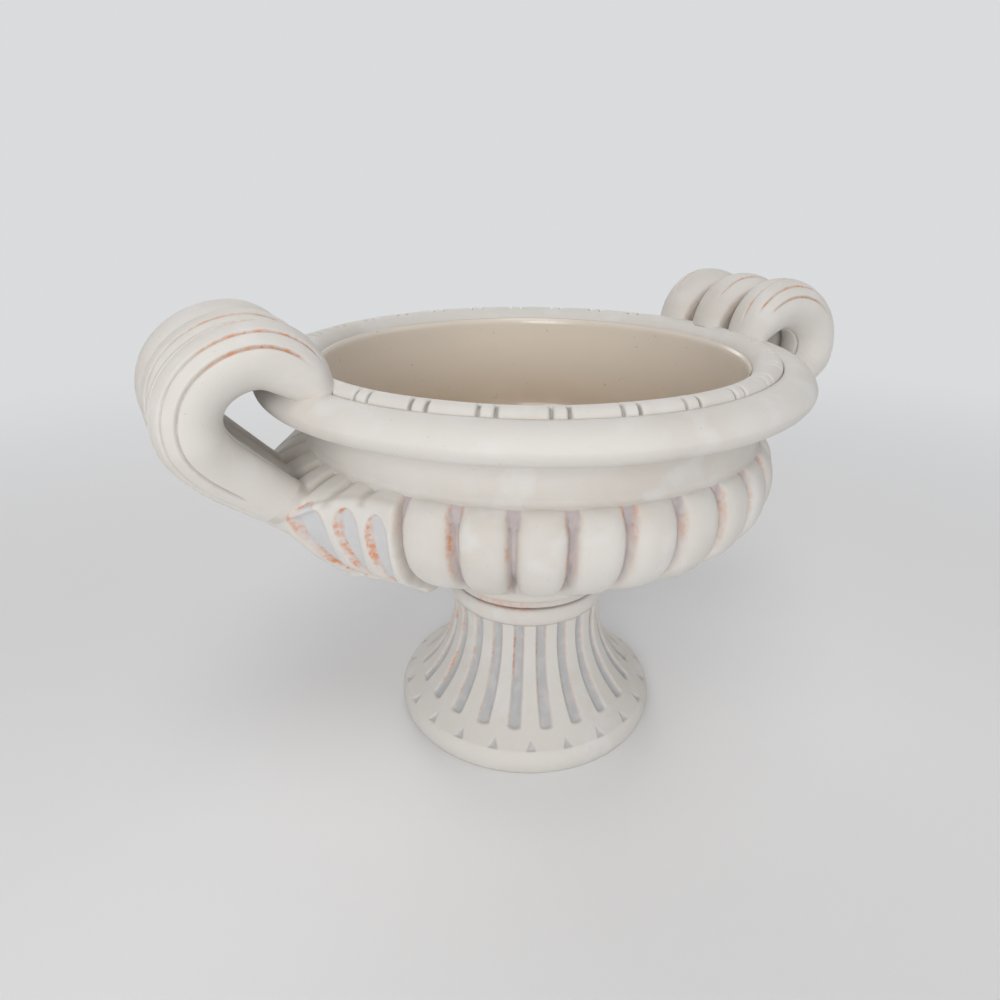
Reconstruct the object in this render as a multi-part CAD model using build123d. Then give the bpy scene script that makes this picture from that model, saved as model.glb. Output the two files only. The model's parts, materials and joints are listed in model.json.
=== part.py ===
"""Two-handled footed urn vase in cast and luted ceramic.

The foot, its collar, the gadrooned bowl, the rolled lip, the notched mouth bead, the handle
brackets and the six handle rolls are separate clay pieces that are luted together with slip.
The inside of the bowl carries a glaze. Units are millimetres, +Z is up, z = 0 is the surface
that the urn stands on, the axis of the bowl is Z and the two handles lie along X.
"""

import os
from math import asin, cos, degrees, hypot, radians, sin, sqrt, tan

from build123d import *

# Driving dimensions: heights of the stacked pieces
FOOT_HEIGHT = 72.0
BELLY_HEIGHT = 76.5
BAND_HEIGHT = 15.5
LIP_HEIGHT = 16.8
BEAD_RISE = 3.2

# Driving dimensions: radii, and how far the other turned pieces stand in or out from them
FOOT_RADIUS = 63.8
STEM_RADIUS = 36.1
BELLY_RADIUS = 106.4
NECK_PROUD = 2.1
BAND_INSET = 9.6
BAND_WALL = 5.2
BAND_FLARE = 2.2
LIP_OVERHANG = 20.9
BEAD_LEDGE = 0.2

# Walls, glaze and the clearance that slip fills in a joint
BOWL_WALL = 7.0
BOWL_FLOOR = 8.7
FOOT_WALL = 7.5
GLAZE = 0.6
SLIP_GAP = 0.3

# Gadroons round the belly, with the sector at each handle left plain for its bracket
GADROONS_PER_SIDE = 10
BRACKET_HALF_ANGLE = 33.75
GADROON_DEPTH = 7.0
BELLY_TURN_RADIUS = 26.0
BELLY_TURN = 60.0
SHOULDER_RISE = 14.5
SHOULDER_IN = 7.4

# Foot: flutes, darts, edge and the joint under the bowl
FLUTES = 22
FOOT_TURN = 5.0
FLUTE_DEPTH = 1.8
FLUTE_WIDTH = 4.0
FLUTE_FOOT_Z = 18.3
FOOT_EDGE = 12.5
FOOT_EDGE_INSET = 2.0
WAIST_DROP = 5.6
DART_SIZE = 4.8
DART_DEPTH = 1.2
SOCKET_WALL = 5.5
SPIGOT_LENGTH = 8.0
SPIGOT_WALL = 7.0
SPIGOT_FLOOR = 4.0
COLLAR_HEIGHT = 8.3
COLLAR_PROUD = 1.9
COLLAR_SEAT = 2.6
COLLAR_DROP = 1.2
NECK_HEIGHT = 7.8
NECK_GROOVE = 3.2
NECK_STEP = 1.4
BAND_STEP = 0.5

# Lip and bead joints, and the notch pairs on the bead
BEAD_WIDTH = 12.0
BEAD_SEAT_DEPTH = 2.8
TONGUE_WIDTH = 3.0
TONGUE_HEIGHT = 4.0
BEAD_KEY_HEIGHT = 2.0
NOTCH_PAIRS = 28
NOTCH_SPREAD = 3.2
NOTCH_WIDTH = 2.4
NOTCH_DEPTH = 1.5

# Handle rolls: half widths, spacing and the loop that they follow
ROLL_HALF_WIDTH = 12.8
ROLL_HALF_DEPTH = 11.6
ROLL_TOE_WIDTH = 10.5
ROLL_ROOT_SHARE = 0.71
ROLL_FLAT = 0.95
ROLL_JOINT = 0.2
ROLL_GROOVE_DEPTH = 0.9
ROLL_GROOVE_HALF = 4.0
CROWN_OUT = 3.3
CROWN_RISE = 11.5
TOE_BEND = 13.4
TOE_TURN = 78.0
TOE_SINK = 4.2
TOE_INSET = 7.7
TOE_DROP = 2.8
CROWN_BEND = 27.0
CROWN_TURN = 42.0
OUTER_BEND = 19.2
OUTER_TURN = 70.0
LOWER_BEND = 27.0
LOWER_TURN = 30.0
TAIL_OUTER_OUT = 10.6
TAIL_OUTER_DROP = 21.3
TAIL_INNER_OUT = -1.9
TAIL_INNER_DROP = 8.0

# Bracket: its reach below the widest belly, and the hollows on both sides of the handle's root
BRACKET_LENGTH = 32.0
ROOT_HALF_ANGLE = 12.0
HOLLOWS = 3
HOLLOW_DEPTH = 2.6
SHELF_FALL = 11.0
SHELF_BOW = 1.4
SHELF_GROOVE = 1.6
SHELF_GROOVE_RADIUS = 4.0

# Bracket from low to high: share of height, how far root and flanks stand out, share of the hollows
BRACKET_PROFILE = (
    (0.0, 12.5, 2.5, 0.1),
    (0.08, 15.0, 5.0, 0.3),
    (0.22, 11.5, 4.0, 0.8),
    (0.4, 11.0, 1.5, 1.0),
    (0.56, 13.5, 0.5, 1.0),
    (0.75, 17.0, 0.5, 0.8),
    (1.0, 20.0, 2.0, 0.3),
)

# Levels that follow from the stacked heights
SEAT_Z = FOOT_HEIGHT
BELLY_TOP_Z = SEAT_Z + BELLY_HEIGHT
LIP_BASE_Z = BELLY_TOP_Z + BAND_HEIGHT
LIP_TOP_Z = LIP_BASE_Z + LIP_HEIGHT
CREST_Z = LIP_TOP_Z + BEAD_RISE
BEAD_SEAT_Z = LIP_TOP_Z - BEAD_SEAT_DEPTH
BELLY_MID_Z = BELLY_TOP_Z - SHOULDER_RISE
COLLAR_Z = SEAT_Z - COLLAR_HEIGHT - COLLAR_DROP
WAIST_Z = COLLAR_Z - WAIST_DROP
NECK_Z = SEAT_Z + NECK_HEIGHT
FLOOR_Z = NECK_Z + BOWL_FLOOR

# Radii that follow
BAND_RADIUS = BELLY_RADIUS - BAND_INSET
BAND_TOP_RADIUS = BAND_RADIUS + BAND_FLARE
THROAT_RADIUS = BAND_RADIUS - BAND_WALL
LIP_RADIUS = BAND_RADIUS + LIP_OVERHANG
BEAD_INNER = THROAT_RADIUS + BEAD_LEDGE
BEAD_OUTER = BEAD_INNER + BEAD_WIDTH
BEAD_RADIUS = BEAD_INNER + BEAD_WIDTH * 0.65
NECK_RADIUS = STEM_RADIUS + NECK_PROUD
COLLAR_SEAT_RADIUS = STEM_RADIUS - COLLAR_SEAT
SPIGOT_RADIUS = COLLAR_SEAT_RADIUS - SOCKET_WALL - SLIP_GAP
FOOT_EDGE_RADIUS = FOOT_RADIUS - FOOT_EDGE_INSET
STEM_FLARE = FOOT_EDGE_RADIUS - STEM_RADIUS
STEM_BEND = ((WAIST_Z - FOOT_EDGE) ** 2 + STEM_FLARE**2) / (2 * STEM_FLARE)
BELLY_TURN_CENTRE = BELLY_RADIUS - BELLY_TURN_RADIUS
PITCH = (180 - 2 * BRACKET_HALF_ANGLE) / GADROONS_PER_SIDE
ROLL_SPACING = 2 * ROLL_FLAT * ROLL_HALF_WIDTH + ROLL_JOINT

# Each roll of a handle: offset across, sides with a flat, and angles of its incised lines
ROLLS = {
    "front": (-ROLL_SPACING, (1,), (-26, 8, 42)),
    "middle": (0.0, (-1, 1), (-22, 22)),
    "rear": (ROLL_SPACING, (-1,), (-42, -8, 26)),
}


def polar(radius, angle, z):
    """A point at that radius and angle, in degrees, about the bowl's axis."""
    return (radius * cos(radians(angle)), radius * sin(radians(angle)), z)


def revolved(*edges, sweep=360):
    """The solid of revolution of a closed outline drawn in the XZ plane."""
    return revolve(make_face(Wire(list(edges))), Axis.Z, sweep)


def outline(points):
    """Straight edges in the XZ plane through (radius, z) points, in order."""
    return [Line((a[0], 0, a[1]), (b[0], 0, b[1])) for a, b in zip(points, points[1:])]


def bow(start, middle, end):
    """An arc in the XZ plane through three (radius, z) points."""
    return ThreePointArc(*[(r, 0, z) for r, z in (start, middle, end)])


def turned(shape, count, start):
    """Copies of a shape at even angles about the bowl's axis."""
    return [shape.rotate(Axis.Z, start + 360 / count * i) for i in range(count)]


def belly_levels():
    """Height, crest radius and gadroon depth at the belly's sections, lowest first."""
    turn = radians(BELLY_TURN)
    turn_z = BELLY_MID_Z - BELLY_TURN_RADIUS * sin(turn)
    turn_radius = BELLY_TURN_CENTRE + BELLY_TURN_RADIUS * cos(turn)
    levels = []
    for share, depth in ((0.0, 0.08), (0.2, 0.25), (0.4, 0.45), (0.6, 0.65), (0.8, 0.82), (1.0, 0.93)):
        z = NECK_Z + share * (turn_z - NECK_Z)
        radius = NECK_RADIUS + share * (turn_radius - NECK_RADIUS)
        levels.append((z, radius, depth * GADROON_DEPTH))
    for share in (0.75, 0.5, 0.25):
        angle = share * turn
        z = BELLY_MID_Z - BELLY_TURN_RADIUS * sin(angle)
        levels.append((z, BELLY_TURN_CENTRE + BELLY_TURN_RADIUS * cos(angle), GADROON_DEPTH))
    for share, depth in ((0.0, 1.0), (0.4, 0.95), (0.7, 0.75), (0.9, 0.45), (1.0, 0.12)):
        radius = BELLY_RADIUS - SHOULDER_IN * (1 - sqrt(1 - share**2))
        levels.append((BELLY_MID_Z + share * SHOULDER_RISE, radius, depth * GADROON_DEPTH))
    return levels


def belly_radius(z, sunk):
    """Radius of the belly at a height, from the gadroons' crests at 0 to their grooves at 1."""
    levels = belly_levels()
    for low, high in zip(levels, levels[1:]):
        if z <= high[0]:
            break
    share = min(1, (z - low[0]) / (high[0] - low[0]))
    ends = [level[1] - sunk * level[2] for level in (low, high)]
    return ends[0] + share * (ends[1] - ends[0])


def belly_section(z, crest, depth):
    """One level of the belly: gadroon arcs front and back, plain arcs at the brackets."""
    groove = crest - depth
    edges = []
    for side in (0, 180):
        ends = [polar(groove, side + a, z) for a in (-BRACKET_HALF_ANGLE, 0, BRACKET_HALF_ANGLE)]
        edges.append(ThreePointArc(*ends))
        for i in range(GADROONS_PER_SIDE):
            start = side + BRACKET_HALF_ANGLE + i * PITCH
            ends = (polar(groove, start, z), polar(groove, start + PITCH, z))
            edges.append(ThreePointArc(ends[0], polar(crest, start + PITCH / 2, z), ends[1]))
    return make_face(Wire(edges))


def cavity_edges(inset):
    """The inside of the bowl from the axis at the floor up to the bead's seat, moved inward."""
    turn = radians(BELLY_TURN)
    radius = BELLY_TURN_RADIUS - GADROON_DEPTH - BOWL_WALL - inset
    turn_end = (BELLY_TURN_CENTRE + radius * cos(turn), BELLY_MID_Z - radius * sin(turn))
    turn_middle = (BELLY_TURN_CENTRE + radius * cos(turn / 2), BELLY_MID_Z - radius * sin(turn / 2))
    turn_start = (BELLY_TURN_CENTRE + radius, BELLY_MID_Z)
    cone_radius = NECK_RADIUS - 3.2 - inset * cos(turn)
    cone_z = turn_end[1] - (turn_end[0] - cone_radius) / tan(turn)
    floor_z = FLOOR_Z + inset
    floor = bow((0, floor_z), (cone_radius * 0.55, floor_z + 0.28 * (cone_z - floor_z)), (cone_radius, cone_z))
    wall = outline([turn_start, (THROAT_RADIUS - inset, LIP_BASE_Z), (THROAT_RADIUS - inset, BEAD_SEAT_Z)])
    return [floor, *outline([(cone_radius, cone_z), turn_end]), bow(turn_end, turn_middle, turn_start), *wall]


def make_bowl():
    """The gadrooned bowl with its plain band, tongue for the lip and spigot for the foot."""
    belly = loft([belly_section(*level) for level in belly_levels()])
    band_foot = belly_radius(BELLY_TOP_Z, 1) - BAND_STEP
    band_top = BAND_TOP_RADIUS
    tongue_middle = (THROAT_RADIUS + band_top) / 2
    tongue = [tongue_middle + TONGUE_WIDTH / 2, tongue_middle - TONGUE_WIDTH / 2]
    tongue_z = LIP_BASE_Z + TONGUE_HEIGHT - SLIP_GAP
    band = revolved(
        bow((band_foot, BELLY_TOP_Z), (BAND_RADIUS, (BELLY_TOP_Z + LIP_BASE_Z) / 2), (band_top, LIP_BASE_Z)),
        *outline([
            (band_top, LIP_BASE_Z),
            (tongue[0], LIP_BASE_Z),
            (tongue[0], tongue_z),
            (tongue[1], tongue_z),
            (tongue[1], LIP_BASE_Z),
            (0, LIP_BASE_Z),
            (0, BELLY_TOP_Z),
            (band_foot, BELLY_TOP_Z),
        ]),
    )
    spigot_inner = SPIGOT_RADIUS - SPIGOT_WALL
    spigot_z = SEAT_Z - SPIGOT_LENGTH
    groove = NECK_RADIUS - NECK_GROOVE
    neck = revolved(
        bow((groove, SEAT_Z + 2.6), (NECK_RADIUS, SEAT_Z + 4.9), (NECK_RADIUS - NECK_STEP, NECK_Z)),
        *outline([
            (NECK_RADIUS - NECK_STEP, NECK_Z),
            (0, NECK_Z),
            (0, NECK_Z - SPIGOT_FLOOR),
            (spigot_inner, NECK_Z - SPIGOT_FLOOR),
            (spigot_inner, spigot_z),
            (SPIGOT_RADIUS, spigot_z),
            (SPIGOT_RADIUS, SEAT_Z),
            (groove, SEAT_Z),
            (groove, SEAT_Z + 2.6),
        ]),
    )
    floor, *sides = cavity_edges(0)
    top = [(THROAT_RADIUS, BEAD_SEAT_Z), (0, BEAD_SEAT_Z), (0, FLOOR_Z)]
    cavity = revolved(floor, *sides, *outline(top))
    return belly + band + neck - cavity


def make_glaze():
    """The glaze that lines the bowl from its floor up to the bead."""
    top = [(THROAT_RADIUS, BEAD_SEAT_Z), (THROAT_RADIUS - GLAZE, BEAD_SEAT_Z)]
    axis = [(0, FLOOR_Z), (0, FLOOR_Z + GLAZE)]
    return revolved(*cavity_edges(0), *outline(top), *cavity_edges(GLAZE), *outline(axis))


def make_lip():
    """The drooping lip: a groove below for the bowl's tongue, a keyed seat above for the bead."""
    band_top = BAND_TOP_RADIUS
    tongue_middle = (THROAT_RADIUS + band_top) / 2
    slot = [tongue_middle - TONGUE_WIDTH / 2 - SLIP_GAP, tongue_middle + TONGUE_WIDTH / 2 + SLIP_GAP]
    slot_z = LIP_BASE_Z + TONGUE_HEIGHT
    key_middle = (BEAD_INNER + BEAD_OUTER) / 2
    key = [key_middle + TONGUE_WIDTH / 2 + SLIP_GAP, key_middle - TONGUE_WIDTH / 2 - SLIP_GAP]
    key_z = BEAD_SEAT_Z - BEAD_KEY_HEIGHT
    edge_z = LIP_TOP_Z - 6.6
    under = (LIP_RADIUS - 6.0, LIP_TOP_Z - 13.0)
    return revolved(
        bow((BEAD_OUTER, LIP_TOP_Z), (LIP_RADIUS - 3.2, LIP_TOP_Z - 1.6), (LIP_RADIUS, edge_z)),
        bow((LIP_RADIUS, edge_z), (LIP_RADIUS - 1.7, LIP_TOP_Z - 11.0), under),
        bow(under, (band_top + 5.5, LIP_BASE_Z + 2.6), (band_top, LIP_BASE_Z)),
        *outline([
            (band_top, LIP_BASE_Z),
            (slot[1], LIP_BASE_Z),
            (slot[1], slot_z),
            (slot[0], slot_z),
            (slot[0], LIP_BASE_Z),
            (THROAT_RADIUS, LIP_BASE_Z),
            (THROAT_RADIUS, BEAD_SEAT_Z),
            (key[1], BEAD_SEAT_Z),
            (key[1], key_z),
            (key[0], key_z),
            (key[0], BEAD_SEAT_Z),
            (BEAD_OUTER, BEAD_SEAT_Z),
            (BEAD_OUTER, LIP_TOP_Z),
        ]),
    )


def make_bead_blank():
    """The mouth bead before its notches, with the key that sits in the lip."""
    key_middle = (BEAD_INNER + BEAD_OUTER) / 2
    key = [key_middle - TONGUE_WIDTH / 2, key_middle + TONGUE_WIDTH / 2]
    key_z = BEAD_SEAT_Z - BEAD_KEY_HEIGHT + SLIP_GAP
    crest = (BEAD_RADIUS, CREST_Z)
    inner = (BEAD_INNER + 2.6, CREST_Z - 2.0)
    outer = (BEAD_OUTER - 1.1, CREST_Z - 1.2)
    return revolved(
        bow((BEAD_INNER, BEAD_SEAT_Z), inner, crest),
        bow(crest, outer, (BEAD_OUTER, LIP_TOP_Z)),
        *outline([
            (BEAD_OUTER, LIP_TOP_Z),
            (BEAD_OUTER, BEAD_SEAT_Z),
            (key[1], BEAD_SEAT_Z),
            (key[1], key_z),
            (key[0], key_z),
            (key[0], BEAD_SEAT_Z),
            (BEAD_INNER, BEAD_SEAT_Z),
        ]),
    )


def notch_angles():
    """Angles of the notch pairs that the handle toes leave free."""
    covered = degrees(asin((2 * ROLL_FLAT + 1) * ROLL_HALF_WIDTH / BEAD_RADIUS))
    angles = [360 / NOTCH_PAIRS * i for i in range(NOTCH_PAIRS)]
    return [a for a in angles if covered < a % 180 < 180 - covered]


def make_notches():
    """Cuts across the crest of the bead, in pairs."""
    width = degrees(NOTCH_WIDTH / BEAD_RADIUS)
    low = CREST_Z - NOTCH_DEPTH
    high = CREST_Z + 1
    corners = [(BEAD_INNER, low), (BEAD_OUTER, low), (BEAD_OUTER, high), (BEAD_INNER, high), (BEAD_INNER, low)]
    notch = revolved(*outline(corners), sweep=width)
    starts = (-NOTCH_SPREAD / 2 - width / 2, NOTCH_SPREAD / 2 - width / 2)
    return [notch.rotate(Axis.Z, a + s) for a in notch_angles() for s in starts]


def stem_radius(inset, z):
    """Radius of the foot's hollow sweep at a height, moved into the clay."""
    return STEM_RADIUS + STEM_BEND - sqrt((STEM_BEND + inset) ** 2 - (WAIST_Z - z) ** 2)


def stem_curve(inset, low_z, high_z):
    """The hollow sweep of the foot between two heights, moved into the clay."""
    return bow(*[(stem_radius(inset, z), z) for z in (low_z, (low_z + high_z) / 2, high_z)])


def make_foot():
    """The hollow fluted foot, open below, with the socket for the bowl's spigot on top."""
    widest_z = FOOT_EDGE * 0.5
    hollow_z = FOOT_EDGE * 0.64
    hollow_radius = stem_radius(FOOT_WALL, hollow_z)
    socket = SPIGOT_RADIUS + SLIP_GAP
    hollow_top = (stem_radius(FOOT_WALL, COLLAR_Z), COLLAR_Z)
    body = revolved(
        *outline([(hollow_radius, 0), (FOOT_RADIUS - 2.3, 0)]),
        bow((FOOT_RADIUS - 2.3, 0), (FOOT_RADIUS, widest_z), (FOOT_EDGE_RADIUS, FOOT_EDGE)),
        stem_curve(0, FOOT_EDGE, COLLAR_Z),
        *outline([
            (stem_radius(0, COLLAR_Z), COLLAR_Z),
            (COLLAR_SEAT_RADIUS, COLLAR_Z),
            (COLLAR_SEAT_RADIUS, SEAT_Z),
            (socket, SEAT_Z),
            (socket, COLLAR_Z),
            hollow_top,
        ]),
        stem_curve(FOOT_WALL, hollow_z, COLLAR_Z),
        *outline([(hollow_radius, hollow_z), (hollow_radius, 0)]),
    )
    return body - turned(make_flute(), FLUTES, FOOT_TURN) - turned(make_dart(), FLUTES, FOOT_TURN + 180 / FLUTES)


def make_flute():
    """The clay taken out for one flute."""
    low = stem_radius(FLUTE_DEPTH, FLUTE_FOOT_Z)
    outside = FOOT_RADIUS + 2
    width = degrees(FLUTE_WIDTH / STEM_RADIUS)
    flute = revolved(
        stem_curve(FLUTE_DEPTH, FLUTE_FOOT_Z, COLLAR_Z),
        *outline([
            (stem_radius(FLUTE_DEPTH, COLLAR_Z), COLLAR_Z),
            (outside, COLLAR_Z),
            (outside, FLUTE_FOOT_Z),
            (low, FLUTE_FOOT_Z),
        ]),
        sweep=width,
    )
    return flute.rotate(Axis.Z, -width / 2)


def make_dart():
    """The clay taken out for one triangular dart above the foot's edge."""
    z = FOOT_EDGE + 1.8
    radius = stem_radius(0, z)
    normal = (STEM_RADIUS + STEM_BEND - radius, 0, WAIST_Z - z)
    plane = Plane((radius, 0, z), x_dir=(0, 1, 0), z_dir=normal)
    half = DART_SIZE / 2
    triangle = plane * make_face(Polyline((-half, -half), (half, -half), (0, half), close=True))
    return extrude(triangle, DART_DEPTH, both=True)


def make_collar():
    """The collar ring that covers the top of the flutes."""
    proud = STEM_RADIUS + COLLAR_PROUD
    top_z = COLLAR_Z + COLLAR_HEIGHT
    return revolved(
        bow((STEM_RADIUS, COLLAR_Z), (proud, COLLAR_Z + COLLAR_HEIGHT / 2), (STEM_RADIUS, top_z)),
        *outline([
            (STEM_RADIUS, top_z),
            (COLLAR_SEAT_RADIUS, top_z),
            (COLLAR_SEAT_RADIUS, COLLAR_Z),
            (STEM_RADIUS, COLLAR_Z),
        ]),
    )


def between(a, b, share):
    """The point at that share of the way from a to b."""
    return (a[0] + share * (b[0] - a[0]), a[1] + share * (b[1] - a[1]))


def loop_stations():
    """Stations along a handle loop from toe to tail: outer point, inner point, half width, spread."""
    crown = (LIP_RADIUS + CROWN_OUT, CREST_Z + CROWN_RISE)
    under = (crown[0], crown[1] - ROLL_HALF_DEPTH)
    landing = (LIP_RADIUS - TOE_INSET, LIP_TOP_Z - TOE_DROP)
    reach = TOE_BEND + ROLL_HALF_DEPTH
    stations = []
    toe_steps = 5
    for i in range(toe_steps):
        share = 1 - i / toe_steps
        turn = radians(TOE_TURN * share)
        outer = (crown[0] - reach * sin(turn), crown[1] - TOE_BEND + reach * cos(turn))
        width = ROLL_HALF_WIDTH + (ROLL_TOE_WIDTH - ROLL_HALF_WIDTH) * share
        stations.append((outer, between(under, landing, share), width, 1.0))
    sink = (TOE_SINK * cos(radians(TOE_TURN)), TOE_SINK * sin(radians(TOE_TURN)))
    outer, inner, width, spread = stations[0]
    outer, inner = [(point[0] - sink[0], point[1] - sink[1]) for point in (outer, inner)]
    stations.insert(0, (outer, inner, width, spread))

    def add(out, z, heading, spread):
        """Adds a station of full depth at a point of the loop's middle line."""
        up = (-sin(heading) * ROLL_HALF_DEPTH, cos(heading) * ROLL_HALF_DEPTH)
        ends = (out + up[0], z + up[1]), (out - up[0], z - up[1])
        stations.append((*ends, ROLL_HALF_WIDTH * spread, spread))

    out, z, heading = *crown, 0.0
    add(out, z, heading, 1.0)
    narrowing = (1 - ROLL_ROOT_SHARE) / 4
    for bend, turn, steps, loss in (
        (CROWN_BEND, CROWN_TURN, 3, 0.0),
        (OUTER_BEND, OUTER_TURN, 4, 0.0),
        (LOWER_BEND, LOWER_TURN, 2, narrowing),
    ):
        centre = (out + bend * sin(heading), z - bend * cos(heading))
        for i in range(steps):
            heading -= radians(turn / steps)
            out, z = centre[0] - bend * sin(heading), centre[1] + bend * cos(heading)
            add(out, z, heading, 1 - loss * (i + 1))
    last = stations[-1]
    tail = (
        (BELLY_RADIUS + TAIL_OUTER_OUT, BELLY_TOP_Z - TAIL_OUTER_DROP),
        (BELLY_RADIUS + TAIL_INNER_OUT, BELLY_TOP_Z - TAIL_INNER_DROP),
    )
    for share in (0.25, 0.5, 0.75, 1.0):
        spread = last[3] + share * (ROLL_ROOT_SHARE - last[3])
        ends = [between(last[i], tail[i], share) for i in (0, 1)]
        stations.append((*ends, ROLL_HALF_WIDTH * spread, spread))
    return stations


def roll_section(station, place, clearance=0.0):
    """One section of a handle roll, with flats where it meets its neighbours and incised lines."""
    across, flats, grooves = ROLLS[place]
    outer, inner, width, spread = station
    across *= spread
    out, z = between(outer, inner, 0.5)
    length = hypot(outer[0] - inner[0], outer[1] - inner[1])
    up = ((outer[0] - inner[0]) / length, (outer[1] - inner[1]) / length)
    depth = length / 2 + clearance
    width += clearance

    def at(angle, sink=0.0):
        """A point on the section, at an angle in degrees from the outside of the loop."""
        rise = (depth - sink) * cos(radians(angle))
        return (out + up[0] * rise, across + (width - sink) * sin(radians(angle)), z + up[1] * rise)

    flat = degrees(asin(ROLL_FLAT))
    stops = []
    for groove in grooves:
        stops += [(groove - ROLL_GROOVE_HALF, False), (groove + ROLL_GROOVE_HALF, True)]
    if 1 in flats:
        stops += [(flat, False), (180 - flat, None)]
    else:
        stops += [(110, False)]
    stops += [(180, False)]
    if -1 in flats:
        stops += [(180 + flat, False), (360 - flat, None)]
    else:
        stops += [(250, False)]
    stops += [(360 + grooves[0] - ROLL_GROOVE_HALF, False)]
    edges = []
    for (low, _), (high, kind) in zip(stops, stops[1:]):
        middle = (low + high) / 2
        if kind is None:
            edges.append(Line(at(low), at(high)))
        else:
            edges.append(ThreePointArc(at(low), at(middle, ROLL_GROOVE_DEPTH if kind else 0.0), at(high)))
    return make_face(Wire(edges))


def make_roll(place):
    """One handle roll on the +X side, before it is cut to sit on the lip and bead."""
    return loft([roll_section(station, place) for station in loop_stations()])


def make_socket(place):
    """The clay taken out of the bracket for the tail of one roll."""
    return loft([roll_section(station, place, SLIP_GAP) for station in loop_stations()[-7:]])


def shelf_curve():
    """The bracket's rounded top in the XZ plane, from the band out past the handle's root: three points."""
    start = (BAND_RADIUS, BELLY_TOP_Z + BAND_STEP)
    end = (LIP_RADIUS + CROWN_OUT, start[1] - SHELF_FALL)
    middle = between(start, end, 0.5)
    return start, (middle[0], middle[1] + SHELF_BOW), end


def make_shelf_cuts(angles):
    """The clay taken off above the bracket's top, and one groove along it at each rib angle."""
    start, middle, end = shelf_curve()
    far = end[0] + LIP_OVERHANG
    high_z = start[1] + 2 * SHELF_FALL
    above = revolved(
        bow(start, middle, end),
        *outline([end, (far, end[1]), (far, high_z), (start[0], high_z), start]),
    )
    run = hypot(end[0] - start[0], end[1] - start[1])
    fall = degrees(asin((start[1] - end[1]) / run))
    rod = Cylinder(SHELF_GROOVE_RADIUS, run, align=(Align.CENTER, Align.CENTER, Align.MIN))
    rod = rod.rotate(Axis.Y, 90 + fall)
    lift = SHELF_GROOVE_RADIUS - SHELF_GROOVE + SHELF_BOW
    rod = Pos(start[0], 0, start[1] + lift) * rod
    return [above] + [rod.rotate(Axis.Z, angle) for angle in angles]


def make_bracket(bowl):
    """The fan-shaped bracket on the +X side that carries the rolls, hollowed between its ribs."""
    low_z = BELLY_MID_Z - BRACKET_LENGTH
    top_z = BELLY_TOP_Z + SHELF_BOW
    shares = [i / HOLLOWS for i in range(HOLLOWS + 1)]
    angles = [ROOT_HALF_ANGLE + share * (BRACKET_HALF_ANGLE - ROOT_HALF_ANGLE) for share in shares]
    sections = []
    for height, root, flank, hollow in BRACKET_PROFILE:
        z = low_z + height * (top_z - low_z)
        crest = belly_radius(z, 0)
        outs = [flank + (root - flank) * (1 - share) ** 2.9 for share in shares]
        right = [polar(crest + out, angle, z) for angle, out in zip(angles, outs)]
        left = [(x, -y, level) for x, y, level in right]
        edges = []
        for side in (left, right):
            for a, b in zip(side, side[1:]):
                middle = ((a[0] + b[0]) / 2, (a[1] + b[1]) / 2)
                stretch = 1 - hollow * HOLLOW_DEPTH / hypot(*middle)
                edges.append(ThreePointArc(a, (middle[0] * stretch, middle[1] * stretch, z), b))
        edges.append(ThreePointArc(left[0], (crest + root, 0, z), right[0]))
        inner = belly_radius(z, 1) - BOWL_WALL / 2
        ends = [polar(inner, a, z) for a in (BRACKET_HALF_ANGLE, 0, -BRACKET_HALF_ANGLE)]
        edges.append(Line(right[-1], ends[0]))
        edges.append(ThreePointArc(*ends))
        edges.append(Line(ends[2], left[-1]))
        sections.append(make_face(Wire(edges)))
    grooved = [side * angle for angle in angles[:-1] for side in (-1, 1)]
    bracket = loft(sections) - bowl - make_shelf_cuts(grooved)
    for place in ROLLS:
        bracket -= make_socket(place)
    return bracket


def build():
    """All pieces by name."""
    bowl = make_bowl()
    lip = make_lip()
    bead = make_bead_blank()
    pieces = {
        "foot_pedestal": make_foot(),
        "foot_collar": make_collar(),
        "bowl_shell": bowl,
        "glaze_lining": make_glaze(),
        "lip_ring": lip,
        "mouth_bead": bead - make_notches(),
    }
    right = {"bracket": make_bracket(bowl)}
    for place in ROLLS:
        right[place + "_roll"] = make_roll(place) - lip - bead
    for name, piece in right.items():
        pieces["right_handle_" + name] = piece
        pieces["left_handle_" + name] = mirror(piece, about=Plane.YZ)
    return pieces


os.makedirs("parts", exist_ok=True)
for name, piece in build().items():
    piece.label = name
    export_step(piece, f"parts/{name}.step")
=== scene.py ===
"""Two-handled footed ceramic urn: clay pieces with washed recesses, painted shade in the handle rolls'
lines and valleys, and a glazed inside with painted shade towards its floor.
"""

import json

import bpy
import numpy as np
from mathutils import Matrix, Vector

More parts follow.
